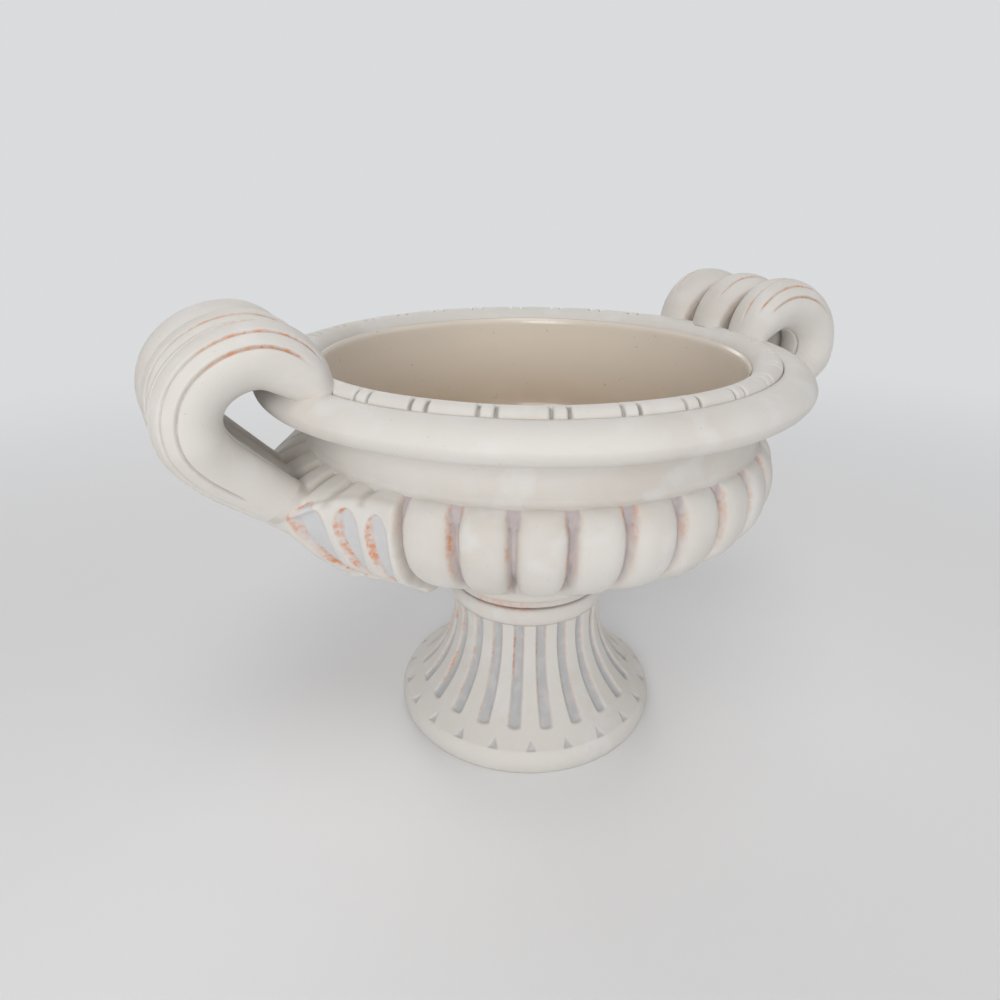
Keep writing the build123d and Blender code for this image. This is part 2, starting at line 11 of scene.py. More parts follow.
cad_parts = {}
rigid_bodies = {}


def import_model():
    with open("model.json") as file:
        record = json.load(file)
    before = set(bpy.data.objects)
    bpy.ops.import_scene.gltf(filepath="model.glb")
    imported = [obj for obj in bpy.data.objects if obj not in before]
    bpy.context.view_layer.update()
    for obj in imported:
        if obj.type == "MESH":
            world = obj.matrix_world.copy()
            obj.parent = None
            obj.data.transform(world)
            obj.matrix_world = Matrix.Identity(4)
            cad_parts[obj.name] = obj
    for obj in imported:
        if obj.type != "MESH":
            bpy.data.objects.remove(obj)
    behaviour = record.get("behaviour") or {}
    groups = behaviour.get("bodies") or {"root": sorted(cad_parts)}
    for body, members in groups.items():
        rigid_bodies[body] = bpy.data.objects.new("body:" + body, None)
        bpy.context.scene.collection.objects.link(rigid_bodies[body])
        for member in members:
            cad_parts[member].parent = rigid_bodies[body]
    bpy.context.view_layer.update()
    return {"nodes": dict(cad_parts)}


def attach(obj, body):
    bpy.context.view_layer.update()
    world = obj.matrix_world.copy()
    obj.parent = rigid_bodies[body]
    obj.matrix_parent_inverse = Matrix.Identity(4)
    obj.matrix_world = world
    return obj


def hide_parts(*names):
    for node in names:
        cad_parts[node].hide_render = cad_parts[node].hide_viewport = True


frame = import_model()

# Sizes of the urn in millimetres, the same as in the solids
SEAT_Z = 72.0
NECK_Z = 79.8
BELLY_TOP_Z = 148.5
LIP_BASE_Z = 164.0
LIP_TOP_Z = 180.8
CREST_Z = 184.0
BEAD_SEAT_Z = 178.0
BELLY_MID_Z = 134.0
COLLAR_Z = 62.5
FOOT_EDGE = 12.5
FOOT_WALL = 7.5
NECK_RADIUS = 38.2
NECK_STEP = 1.4
NECK_GROOVE = 3.2
BELLY_RADIUS = 106.4
TURN_RADIUS = 26.0
TURN = np.radians(60)
SHOULDER_RISE = 14.5
SHOULDER_IN = 7.4
GADROON_DEPTH = 7.0
BOWL_WALL = 7.0
BOWL_FLOOR = 8.7
BAND_RADIUS = 96.8
BAND_FLARE = 2.2
THROAT_RADIUS = 91.6
GLAZE = 0.6
LIP_RADIUS = 117.7
BEAD_RADIUS = 99.6
BEAD_INNER = 91.8
BEAD_OUTER = 103.8
FOOT_RADIUS = 63.8
STEM_RADIUS = 36.1
STEM_BEND = 51.2
WAIST_Z = 56.9
FLUTES = 22
FLUTE_FOOT_Z = 18.3
FLUTE_DEPTH = 1.8
SLIP_GAP = 0.3
SPIGOT_RADIUS = 27.7
SPIGOT_LENGTH = 8.0
SPIGOT_WALL = 7.0
SPIGOT_FLOOR = 4.0
COLLAR_SEAT_RADIUS = 33.5
COLLAR_HEIGHT = 8.3
COLLAR_PROUD = 1.9
PITCHES = 32
PITCH = 2 * np.pi / PITCHES
BRACKET_HALF = 3 * PITCH
ROOT_HALF = np.radians(12.0)
FLUTE_PITCH = 2 * np.pi / FLUTES
FLUTE_TURN = np.radians(5.0)
NOTCH_PAIRS = 28
PAIR_PITCH = 2 * np.pi / NOTCH_PAIRS
NOTCH_SPREAD = np.radians(3.2)
NOTCH_DEPTH = 1.5
ROLL_WIDTH = 12.8
ROLL_DEPTH = 11.6
ROLL_SPACING = 24.52
ROLL_FLAT = 0.95
ROLL_ROOT_SHARE = 0.71

# Carving and softened forms that differ a little from the solids
GROOVE_FLOOR = 1.05
LOBE_POWER = 2.8
NECK_RECESS = 1.6
FLUTE_HALF = 2.4
FLUTE_WIDENING = 0.95
DART_DEPTH = 1.1
DART_LIFT = 0.3
DART_HALF = 2.45
DART_HEIGHT = 5.0
RIB_END = BRACKET_HALF - np.radians(1.2)
TOE_CLEAR = np.radians(20.5)
UNEVEN_SPAN = 46.0

# Radius of the pinhole left at the axis of the bowl, and metres in a millimetre
AXIS = 0.05
MM = 0.001


def ramp(low, high, value):
    """A smooth step from 0 at low to 1 at high."""
    share = np.clip((value - low) / (high - low), 0, 1)
    return share * share * (3 - 2 * share)


def wobble(points, size, seed):
    """A slow, even unevenness of hand-finished clay, from sums of waves."""
    rng = np.random.default_rng(seed)
    total = np.zeros(points.shape[:-1])
    waves = 6
    for _ in range(waves):
        direction = rng.normal(size=3)
        direction *= 2 * np.pi / size / np.linalg.norm(direction)
        total += np.sin(points @ direction + rng.uniform(0, 2 * np.pi))
    return total / waves


def line(start, end, step=1.0):
    """Points from start up to, but without, end."""
    count = max(2, int(np.ceil(np.hypot(end[0] - start[0], end[1] - start[1]) / step)))
    share = np.arange(count)[:, None] / count
    return np.array(start) + share * (np.array(end) - np.array(start))


def bow(start, middle, end, step):
    """Points along the arc through three points, without its end."""
    a, b, c = (np.array(p, float) for p in (start, middle, end))
    system = 2 * np.array([b - a, c - a])
    centre = np.linalg.solve(system, [b @ b - a @ a, c @ c - a @ a])
    angles = [np.arctan2(*(p - centre)[::-1]) for p in (a, b, c)]
    swing = (angles[2] - angles[0]) % (2 * np.pi)
    if (angles[1] - angles[0]) % (2 * np.pi) > swing:
        swing -= 2 * np.pi
    radius = np.hypot(*(a - centre))
    count = max(4, int(np.ceil(abs(swing) * radius / step)))
    turn = angles[0] + swing * np.arange(count) / count
    return centre + radius * np.stack([np.cos(turn), np.sin(turn)], axis=1)


def make_object(name, points, faces, masks, nodes):
    """A smooth mesh piece from points in millimetres, with its masks, in place of CAD nodes."""
    mesh = bpy.data.meshes.new(name)
    mesh.vertices.add(len(points))
    mesh.vertices.foreach_set("co", (points * MM).astype(np.float32).ravel())
    mesh.loops.add(faces.size)
    mesh.loops.foreach_set("vertex_index", faces.astype(np.int32).ravel())
    mesh.polygons.add(len(faces))
    mesh.polygons.foreach_set("loop_start", np.arange(0, faces.size, 4, dtype=np.int32))
    mesh.polygons.foreach_set("use_smooth", np.ones(len(faces), dtype=bool))
    mesh.update(calc_edges=True)
    piece = bpy.data.objects.new(name, mesh)
    bpy.context.scene.collection.objects.link(piece)
    dress(piece, masks, nodes)


def dress(piece, masks, nodes):
    """Write a piece's masks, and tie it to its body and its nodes."""
    for mask, values in masks.items():
        layer = piece.data.attributes.new(mask, "FLOAT", "POINT")
        layer.data.foreach_set("value", np.clip(values, 0, 1).astype(np.float32).ravel())
    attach(piece, "root")
    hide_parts(*nodes)


def grid_faces(rows, columns, wrap_rows=True):
    """Quads of a grid that closes round its columns, and round its rows if asked."""
    row = np.arange(rows if wrap_rows else rows - 1)
    column = np.arange(columns)
    low, side = np.meshgrid(row, column, indexing="ij")
    up = (low + 1) % rows
    next_side = (side + 1) % columns
    corners = [(low, side), (low, next_side), (up, next_side), (up, side)]
    return np.stack([r * columns + c for r, c in corners], axis=-1).reshape(-1, 4)


def turned_points(profile, columns, inward):
    """Points of a turned piece; inward gives how far each is sunk along the profile's normal."""
    tangent = np.roll(profile, -1, axis=0) - np.roll(profile, 1, axis=0)
    tangent /= np.maximum(np.linalg.norm(tangent, axis=1, keepdims=True), 1e-9)
    normal = np.stack([tangent[:, 1], -tangent[:, 0]], axis=1)
    angle = np.arange(columns) * 2 * np.pi / columns
    radius = profile[:, None, 0] - inward * normal[:, None, 0]
    height = profile[:, None, 1] - inward * normal[:, None, 1]
    return np.stack([radius * np.cos(angle), radius * np.sin(angle), height + 0 * angle], axis=-1)


def turned_piece(name, profile, columns, inward, masks, node, uneven, seed):
    """A turned clay piece with recesses and a slight unevenness."""
    points = turned_points(profile, columns, inward)
    shake = uneven * (1 + wobble(points, UNEVEN_SPAN, seed)) * ramp(0.0, 5.0, points[..., 2])
    points = turned_points(profile, columns, inward + shake)
    faces = grid_faces(len(profile), columns)
    make_object(name, points.reshape(-1, 3), faces, masks, [node])


def from_axis(angle):
    """Signed angle from the nearer handle axis."""
    side = np.where(np.cos(angle) >= 0, 0.0, np.pi)
    return (angle - side + np.pi) % (2 * np.pi) - np.pi


def offset_in(angle, pitch, start):
    """Angle from the nearest line of a pattern."""
    return (angle - start + pitch / 2) % pitch - pitch / 2


def columns_angle(columns):
    """Angles of a turned piece's columns."""
    return np.arange(columns)[None, :] * 2 * np.pi / columns


def stem_radius(inset, z):
    """Radius of the foot's hollow sweep at a height, moved into the clay."""
    return STEM_RADIUS + STEM_BEND - np.sqrt((STEM_BEND + inset) ** 2 - (WAIST_Z - z) ** 2)


def stem_curve(inset, low, high, step):
    """Points up the foot's sweep."""
    places = [(stem_radius(inset, z), z) for z in (low, (low + high) / 2, high)]
    return bow(*places, step)


def make_foot():
    """The fluted foot with its darts, open below."""
    hollow_z = 0.64 * FOOT_EDGE
    hollow = stem_radius(FOOT_WALL, hollow_z)
    socket = SPIGOT_RADIUS + SLIP_GAP
    edge = (stem_radius(0, FOOT_EDGE), FOOT_EDGE)
    low_edge = (FOOT_RADIUS - 2.3, 0.0)
    stem = stem_curve(0, FOOT_EDGE, COLLAR_Z, 0.55)
    inner = stem_curve(FOOT_WALL, hollow_z, COLLAR_Z, 2.5)
    rest = [
        line((stem_radius(0, COLLAR_Z), COLLAR_Z), (COLLAR_SEAT_RADIUS, COLLAR_Z), 2.0),
        line((COLLAR_SEAT_RADIUS, COLLAR_Z), (COLLAR_SEAT_RADIUS, SEAT_Z), 3.0),
        line((COLLAR_SEAT_RADIUS, SEAT_Z), (socket, SEAT_Z), 3.0),
        line((socket, SEAT_Z), (socket, COLLAR_Z), 3.0),
        inner[::-1],
        line((hollow, hollow_z), (hollow, 0), 3.0),
    ]
    start = [line((hollow, 0), low_edge, 1.5), bow(low_edge, (FOOT_RADIUS, FOOT_EDGE / 2), edge, 0.7)]
    profile = np.concatenate(start + [stem] + rest)
    first = sum(len(part) for part in start)
    columns = FLUTES * 36
    angle = columns_angle(columns)
    radius = stem[:, :1]
    height = stem[:, 1:]
    across = offset_in(angle, FLUTE_PITCH, FLUTE_TURN) * radius
    half = FLUTE_HALF + FLUTE_WIDENING * (radius - STEM_RADIUS) / 20
    foot_end = ramp(FLUTE_FOOT_Z - 0.5, FLUTE_FOOT_Z + 0.7, height - 0.5 * (across / half) ** 2)
    flute = np.clip(1 - (np.abs(across) / (half + 0.1)) ** 3, 0, 1) ** 0.7 * foot_end
    along = np.concatenate([[0], np.cumsum(np.hypot(*np.diff(stem, axis=0).T))])[:, None]
    dart_across = np.abs(offset_in(angle, FLUTE_PITCH, FLUTE_TURN + FLUTE_PITCH / 2) * radius)
    dart_along = along - DART_LIFT
    inside = np.minimum(dart_along, DART_HALF * (1 - dart_along / DART_HEIGHT) - dart_across)
    dart = ramp(-0.15, 0.55, inside)
    inward = np.zeros((len(profile), columns))
    wash = np.zeros_like(inward)
    rust = np.zeros_like(inward)
    rows = slice(first, first + len(stem))
    inward[rows] = FLUTE_DEPTH * flute + DART_DEPTH * dart
    wash[rows] = np.maximum(ramp(0.3, 0.85, flute), 0.85 * ramp(0.3, 0.9, dart))
    near_edge = 1 - ramp(0.15, 0.7, np.abs(np.abs(across) - half + 0.35))
    rust[rows] = near_edge * foot_end * np.where(across < 0, 0.8, 0.25) * ramp(15, 30, height)
    masks = {"wash": wash, "rust": rust}
    turned_piece("foot", profile, columns, inward, masks, "foot_pedestal", 0.16, 3)


def make_collar():
    """The collar ring over the flutes."""
    low = (stem_radius(0, COLLAR_Z), COLLAR_Z)
    top = (STEM_RADIUS, COLLAR_Z + COLLAR_HEIGHT)
    proud = (STEM_RADIUS + COLLAR_PROUD, COLLAR_Z + COLLAR_HEIGHT / 2)
    seat = [(COLLAR_SEAT_RADIUS, top[1]), (COLLAR_SEAT_RADIUS, COLLAR_Z)]
    profile = np.concatenate([
        bow(low, proud, top, 0.5),
        line(top, seat[0]),
        line(seat[0], seat[1], 2.0),
        line(seat[1], low),
    ])
    columns = 288
    from_middle = np.abs(profile[:, 1:] - COLLAR_Z - COLLAR_HEIGHT / 2)
    rim = ramp(3.2, 4.2, from_middle) + 0 * columns_angle(columns)
    masks = {"wash": 0.75 * rim, "rust": 0.5 * rim}
    inward = np.zeros((len(profile), columns))
    name = "foot_collar_ring"
    turned_piece(name, profile, columns, inward, masks, "foot_collar", 0.14, 5)


def belly_rows():
    """Crest points up the belly, the share of the gadroon depth at each, and the rows of its cone."""
    centre = BELLY_RADIUS - TURN_RADIUS
    turn_end = (centre + TURN_RADIUS * np.cos(TURN), BELLY_MID_Z - TURN_RADIUS * np.sin(TURN))
    cone = line((NECK_RADIUS, NECK_Z), turn_end, 0.9)
    share = np.arange(len(cone)) / len(cone)
    steps = 30
    angle = TURN * (1 - np.arange(steps) / steps)
    turn_radius = centre + TURN_RADIUS * np.cos(angle)
    turn = np.stack([turn_radius, BELLY_MID_Z - TURN_RADIUS * np.sin(angle)], axis=1)
    rise = np.sin(np.linspace(0, np.pi / 2, steps))
    level = np.sqrt(np.maximum(0, 1 - rise**2))
    shoulder_radius = BELLY_RADIUS - SHOULDER_IN * (1 - level)
    shoulder = np.stack([shoulder_radius, BELLY_MID_Z + SHOULDER_RISE * rise], axis=1)
    depth = np.concatenate([
        0.93 * ramp(0.3, 0.95, share),
        0.93 + 0.07 * np.arange(steps) / steps,
        0.12 + 0.88 * level,
    ])
    return np.concatenate([cone, turn, shoulder]), depth, len(cone)


def cavity(inset, step):
    """The inside of the bowl from the floor up to the throat, moved inward."""
    centre = BELLY_RADIUS - TURN_RADIUS
    radius = TURN_RADIUS - GADROON_DEPTH - BOWL_WALL - inset
    places = []
    for turn in (TURN, TURN / 2, 0):
        places.append((centre + radius * np.cos(turn), BELLY_MID_Z - radius * np.sin(turn)))
    cone_radius = NECK_RADIUS - NECK_GROOVE - inset * np.cos(TURN)
    cone_z = places[0][1] - (places[0][0] - cone_radius) / np.tan(TURN)
    floor_z = NECK_Z + BOWL_FLOOR + inset
    middle = (cone_radius * 0.55, floor_z + 0.28 * (cone_z - floor_z))
    return np.concatenate([
        bow((AXIS, floor_z), middle, (cone_radius, cone_z), step),
        line((cone_radius, cone_z), places[0], step),
        bow(*places, step),
        line(places[2], (THROAT_RADIUS - inset, LIP_BASE_Z), step),
    ])


def make_bowl():
    """The gadrooned bowl with its plain band."""
    crest, depth, cone_rows = belly_rows()
    cove = (crest[-1, 0] - 1.0, BELLY_TOP_Z + 0.7)
    band_foot = (crest[-1, 0] - 1.4, BELLY_TOP_Z + 2.6)
    band_top = (BAND_RADIUS + BAND_FLARE, LIP_BASE_Z)
    spigot = SPIGOT_RADIUS - SPIGOT_WALL
    spigot_z = SEAT_Z - SPIGOT_LENGTH
    spigot_top = NECK_Z - SPIGOT_FLOOR
    neck = NECK_RADIUS - NECK_RECESS
    neck_z = SEAT_Z + 2.6
    start = [
        line((spigot, spigot_z), (SPIGOT_RADIUS, spigot_z), 3.0),
        line((SPIGOT_RADIUS, spigot_z), (SPIGOT_RADIUS, SEAT_Z), 3.0),
        line((SPIGOT_RADIUS, SEAT_Z), (neck, SEAT_Z), 2.0),
        line((neck, SEAT_Z), (neck, neck_z), 0.5),
        bow((neck, neck_z), (NECK_RADIUS, SEAT_Z + 4.9), (NECK_RADIUS - NECK_STEP, NECK_Z), 0.4),
    ]
    end = [
        bow(crest[-1], cove, band_foot, 0.3),
        bow(band_foot, (BAND_RADIUS, (BELLY_TOP_Z + LIP_BASE_Z) / 2), band_top, 0.8),
        line(band_top, (THROAT_RADIUS, LIP_BASE_Z), 2.0),
        cavity(0, 3.0)[::-1],
        line((AXIS, NECK_Z + BOWL_FLOOR), (AXIS, spigot_top), 4.0),
        line((AXIS, spigot_top), (spigot, spigot_top), 4.0),
        line((spigot, spigot_top), (spigot, spigot_z), 4.0),
    ]
    profile = np.concatenate(start + [crest] + end)
    first = sum(len(part) for part in start)
    columns = PITCHES * 28
    angle = columns_angle(columns)
    radius = crest[:, :1]
    height = crest[:, 1:]
    across = np.abs(offset_in(angle, PITCH, 0)) * radius
    brushed = np.where(offset_in(angle, PITCH, 0) < 0, 1.0, 0.35)
    half = PITCH * radius / 2
    flare = ramp(BELLY_TOP_Z - 9, BELLY_TOP_Z, height)
    floor = np.minimum(GROOVE_FLOOR + flare, 0.8 * half)
    share = np.clip((across - floor) / (half - floor), 0, 1)
    groove = 1 - (1 - (1 - share) ** LOBE_POWER) ** (1 / LOBE_POWER)
    plain = np.abs(from_axis(angle)) < BRACKET_HALF
    beside = ramp(BRACKET_HALF + PITCH / 2, BRACKET_HALF, np.abs(from_axis(angle)))
    relief = np.where(plain, 1.0, groove * (1 - 0.45 * beside))
    inward = np.zeros((len(profile), columns))
    wash = np.zeros_like(inward)
    rust = np.zeros_like(inward)
    rows = slice(first, first + len(crest))
    inward[rows] = GADROON_DEPTH * depth[:, None] * relief
    reach = np.ones((len(crest), 1))
    reach[:cone_rows, 0] = ramp(0.45, 0.9, np.arange(cone_rows) / cone_rows)
    upper = ramp(BELLY_MID_Z - 14, BELLY_TOP_Z - 3, height)
    wash[rows] = ramp(0.4, 0.85, groove) * reach
    edge = ramp(0.22, 0.4, groove) * (1 - ramp(0.75, 0.97, groove)) * reach
    rust[rows] = edge * brushed * (0.45 + 0.75 * upper)
    wash[rows] = np.where(plain, 0, wash[rows])
    rust[rows] = np.where(plain, 0, rust[rows])
    low = slice(0, first)
    wash[low] = (1 - ramp(SEAT_Z + 2.4, SEAT_Z + 4.2, profile[low, 1:])) * 0.2
    rust[low] = wash[low] * 1.8
    masks = {"wash": wash, "rust": rust}
    turned_piece("bowl", profile, columns, inward, masks, "bowl_shell", 0.2, 7)


def make_lining():
    """The glaze inside the bowl, pooled a little under the bead."""
    throat = THROAT_RADIUS - GLAZE
    outer = [cavity(0, 1.6), line((THROAT_RADIUS, LIP_BASE_Z), (THROAT_RADIUS, BEAD_SEAT_Z), 2.0)]
    inner = [cavity(GLAZE, 1.6), line((throat, LIP_BASE_Z), (throat, BEAD_SEAT_Z), 2.0)]
    pooled = (BEAD_INNER + 0.25, BEAD_SEAT_Z + 1.1)
    tops = [
        line((THROAT_RADIUS, BEAD_SEAT_Z), pooled, 0.3),
        line(pooled, (throat, BEAD_SEAT_Z - GLAZE), 0.3),
    ]
    profile = np.concatenate([*outer, *tops, np.concatenate(inner)[::-1]])
    columns = 240
    inward = np.zeros((len(profile), columns))
    turned_piece("glaze", profile, columns, inward, {}, "glaze_lining", 0.0, 9)


def make_lip():
    """The drooping lip."""
    band_top = (BAND_RADIUS + BAND_FLARE, LIP_BASE_Z)
    under = (LIP_RADIUS - 6.0, LIP_TOP_Z - 13.0)
    edge = (LIP_RADIUS, LIP_TOP_Z - 6.6)
    top = (BEAD_OUTER, LIP_TOP_Z)
    corners = [
        (BEAD_OUTER, BEAD_SEAT_Z),
        (THROAT_RADIUS, BEAD_SEAT_Z),
        (THROAT_RADIUS, LIP_BASE_Z),
        band_top,
    ]
    profile = np.concatenate([
        bow(band_top, (band_top[0] + 5.5, LIP_BASE_Z + 2.6), under, 0.8),
        bow(under, (LIP_RADIUS - 1.7, LIP_TOP_Z - 11.0), edge, 0.6),
        bow(edge, (LIP_RADIUS - 3.2, LIP_TOP_Z - 1.6), top, 0.6),
        line(top, corners[0]),
        *[line(a, b, 2.0) for a, b in zip(corners, corners[1:])],
    ])
    columns = 480
    inward = np.zeros((len(profile), columns))
    joint = ramp(0.8, 0.0, np.hypot(*(profile - top).T))[:, None] + 0 * columns_angle(columns)
    masks = {"wash": 0.5 * joint, "rust": 0.3 * joint}
    turned_piece("lip", profile, columns, inward, masks, "lip_ring", 0.22, 11)


def make_bead():
    """The mouth bead with its notch pairs."""
    crest = (BEAD_RADIUS, CREST_Z)
    foot = (BEAD_INNER, BEAD_SEAT_Z)
    outer = (BEAD_OUTER, LIP_TOP_Z)
    profile = np.concatenate([
        line(foot, (BEAD_OUTER, BEAD_SEAT_Z), 2.0),
        line((BEAD_OUTER, BEAD_SEAT_Z), outer, 1.0),
        bow(outer, (BEAD_OUTER - 1.1, CREST_Z - 1.2), crest, 0.35),
        bow(crest, (BEAD_INNER + 2.6, CREST_Z - 2.0), foot, 0.5),
    ])
    columns = NOTCH_PAIRS * 56
    angle = columns_angle(columns)
    free = np.abs(from_axis(angle)) > TOE_CLEAR
    pair = np.abs(offset_in(angle, PAIR_PITCH, 0))
    across = np.abs(pair - NOTCH_SPREAD / 2) * BEAD_RADIUS
    lying = profile[:, 1:] < LIP_TOP_Z - 0.1
    reach = ramp(96.5, 99.0, profile[:, :1]) * np.where(lying, 0, 1)
    notch = np.clip(1.15 - across / 0.95, 0, 1) * reach * free
    masks = {"wash": ramp(0.25, 0.8, notch)}
    turned_piece("bead", profile, columns, NOTCH_DEPTH * notch, masks, "mouth_bead", 0.16, 13)


# The loop that each handle roll follows, with the crown at its top
CROWN = (LIP_RADIUS + 3.3, CREST_Z + 11.5)
TOE_BEND = 13.4
TOE_TURN = np.radians(78)
TOE_SINK = 4.2
TOE_WIDTH = 10.5
TOE_ROWS = 25
SINK_ROWS = 4
LANDING = (LIP_RADIUS - 7.7, LIP_TOP_Z - 2.8)
LAST_LOSS = 0.5
# Each bend after the crown: radius, turn and share of the narrowing that it takes
BENDS = (
    (27.0, np.radians(42), 0.0),
    (19.2, np.radians(70), 0.0),
    (27.0, np.radians(30), LAST_LOSS),
)
TAIL_OUTER = (BELLY_RADIUS + 10.6, BELLY_TOP_Z - 21.3)
TAIL_INNER = (BELLY_RADIUS - 1.9, BELLY_TOP_Z - 8.0)
ROLL_STEP = 1.0
ROLL_SECTIONS = 192
ROLL_SWELL = -0.2
LINE_DEPTH = 1.0

# Each roll: offset across, sides that lie flat on a neighbour, and angles of its incised lines
ROLLS = {
    "front": (-ROLL_SPACING, (1,), (-68, -40, -8, 195)),
    "middle": (0.0, (-1, 1), (-24, 20, 180)),
    "rear": (ROLL_SPACING, (-1,), (8, 40, 68, 165)),
}

# The fan bracket from low to high: share of height, how far its root and its flanks stand out
FAN_LOW_Z = 102.0
FAN_TOP_Z = 149.9
FAN_SHARES = np.array([0.0, 0.08, 0.22, 0.4, 0.56, 0.75, 1.0])
FAN_ROOT = np.array([12.5, 15.0, 11.5, 11.0, 13.5, 17.0, 20.0])
FAN_FLANK = np.array([2.5, 5.0, 4.0, 1.5, 0.5, 0.5, 2.0])
HOLLOWS = 3
HOLLOW_DEPTH = 2.3
HOLLOW_LOW_Z = 103.6
HOLLOW_TOP_Z = 141.8
SHELF_Z = 149.0
SHELF_RUN = 24.2
SHELF_FALL = 11.0
SHELF_BOW = 1.4
SHELF_GROOVE = 1.3
FAN_CORNER = 3.2
FAN_INNER = 95.0

# How finely the roll roots and the joined bracket are drawn, the last in metres
ROOT_ROWS = 34
ROOT_SECTIONS = 48
VOXEL_SIZE = 0.0007


def loop_path(step):
    """Rows along the loop from toe to tail: outer point, inner point, half width and spread."""
    path = []
    reach = TOE_BEND + ROLL_DEPTH
    under = np.array([CROWN[0], CROWN[1] - ROLL_DEPTH])
    for turn in np.linspace(TOE_TURN, 0, TOE_ROWS + 1)[:-1]:
        share = turn / TOE_TURN
        outer = (CROWN[0] - reach * np.sin(turn), CROWN[1] - TOE_BEND + reach * np.cos(turn))
        inner = under + share * (np.array(LANDING) - under)
        path.append((*outer, *inner, ROLL_WIDTH + share * (TOE_WIDTH - ROLL_WIDTH), 1.0))
    along = np.array([np.cos(TOE_TURN), np.sin(TOE_TURN)] * 2 + [0, 0])
    sunk = [np.array(path[0]) - depth * along for depth in np.linspace(TOE_SINK, 0, SINK_ROWS + 1)[:-1]]
    path = sunk + path
    out, height, heading = *CROWN, 0.0
    for bend, turn, loss in BENDS:
        count = int(np.ceil(bend * turn / step))
        centre = (out + bend * np.sin(heading), height - bend * np.cos(heading))
        for i in range(count):
            up = (-np.sin(heading) * ROLL_DEPTH, np.cos(heading) * ROLL_DEPTH)
            spread_now = 1 - loss * (1 - ROLL_ROOT_SHARE) * i / count
            ends = (out + up[0], height + up[1], out - up[0], height - up[1])
            path.append((*ends, ROLL_WIDTH * spread_now, spread_now))
            heading -= turn / count
            out = centre[0] - bend * np.sin(heading)
            height = centre[1] + bend * np.cos(heading)
    up = (-np.sin(heading) * ROLL_DEPTH, np.cos(heading) * ROLL_DEPTH)
    half = 1 - LAST_LOSS * (1 - ROLL_ROOT_SHARE)
    first = np.array([out + up[0], height + up[1], out - up[0], height - up[1], ROLL_WIDTH * half, half])
    last = np.array([*TAIL_OUTER, *TAIL_INNER, ROLL_WIDTH * ROLL_ROOT_SHARE, ROLL_ROOT_SHARE])
    count = int(np.hypot(*(first - last)[:2]) / step)
    tail = [first + share * (last - first) for share in np.linspace(0, 1, count)]
    rows = np.array(path + tail)
    crown_joint = (len(sunk) + TOE_ROWS, slice(2, 4), 30)
    tail_joint = (len(path), slice(0, 6), 70)
    for joint, parts, passes in (crown_joint, tail_joint):
        near = 1 - ramp(6, 18, np.abs(np.arange(len(rows)) - joint))[1:-1, None]
        for _ in range(passes):
            part = rows[:, parts]
            rows[1:-1, parts] += near * ((part[:-2] + part[2:]) / 4 - part[1:-1] / 2)
    return rows


def roll_points(path, place, sections, swell, groove_depth):
    """Points of a roll along a path, its line mask and the mask of its valleys."""
    across, flats, lines = ROLLS[place]
    angle = np.arange(sections)[None, :] * 2 * np.pi / sections
    outer_out, outer_z, inner_out, inner_z, width, spacing = (path[:, i:i + 1] for i in range(6))
    share = np.linspace(0, 1, len(path))[:, None]
    cut = np.zeros((len(path), sections))
    rng = np.random.default_rng(17)
    for groove in lines:
        gap = np.abs((angle - np.radians(groove) + np.pi) % (2 * np.pi) - np.pi) * ROLL_DEPTH
        start = rng.uniform(0.03, 0.14)
        stop = rng.uniform(0.8, 0.97)
        ends = ramp(start - 0.03, start + 0.05, share) * (1 - ramp(stop - 0.06, stop + 0.03, share))
        cut = np.maximum(cut, (1 - ramp(0.15, 0.75, gap)) * ends)
    reach = 1 + (swell - groove_depth * cut) / ROLL_DEPTH
    side = np.sin(angle) * reach
    valley = np.zeros_like(cut)
    for flat in flats:
        valley = np.maximum(valley, ramp(0.8, 0.94, flat * side))
        side = np.where(flat * side > ROLL_FLAT, flat * ROLL_FLAT, side)
    lift = np.cos(angle) * reach / 2
    points = np.stack([
        (outer_out + inner_out) / 2 + (outer_out - inner_out) * lift,
        across * spacing + width * side,
        (outer_z + inner_z) / 2 + (outer_z - inner_z) * lift,
    ], axis=-1)
    return points, cut, valley


def capped(points):
    """A grid with both ends drawn together to a point."""
    ends = [np.repeat(points[i].mean(axis=0)[None, None], points.shape[1], axis=1) for i in (0, -1)]
    return np.concatenate([ends[0], points, ends[1]])


def pad(mask):
    """A mask with its first and last rows repeated for the caps."""
    return np.concatenate([mask[:1], mask, mask[-1:]])


def make_rolls():
    """The three rolls of both handles."""
    path = loop_path(ROLL_STEP)
    share = np.linspace(0, 1, len(path))[:, None]
    crown = ramp(0.05, 0.12, share) * (1 - ramp(0.3, 0.42, share))
    for place in ROLLS:
        points, cut, valley = roll_points(path, place, ROLL_SECTIONS, ROLL_SWELL, LINE_DEPTH)
        points = points + 0.18 * wobble(points, 40.0, 19)[..., None] * np.array([1.0, 0.0, 1.0])
        points = capped(points)
        # Painted shade: grey in the incised lines and darker in the valleys where the rolls lie against
        # each other
        wash = pad(np.maximum(0.7 * ramp(0.3, 0.9, cut), 0.9 * valley))
        rust = pad(np.maximum(1.1 * ramp(0.1, 0.6, cut) * crown, 0.2 * valley))
        faces = grid_faces(*points.shape[:2], wrap_rows=False)
        flat = points.reshape(-1, 3)
        masks = {"wash": wash, "rust": rust}
        for side, sign in (("right", 1), ("left", -1)):
            order = faces if sign > 0 else faces[:, ::-1]
            node = f"{side}_handle_{place}_roll"
            make_object(f"{side}_{place}_roll", flat * [sign, 1, 1], order, masks, [node])


def groove_radius(z):
    """Radius at the bottom of the gadroon grooves at a height."""
    crest, depth, _ = belly_rows()
    return np.interp(z, crest[:, 1], crest[:, 0] - GADROON_DEPTH * depth)


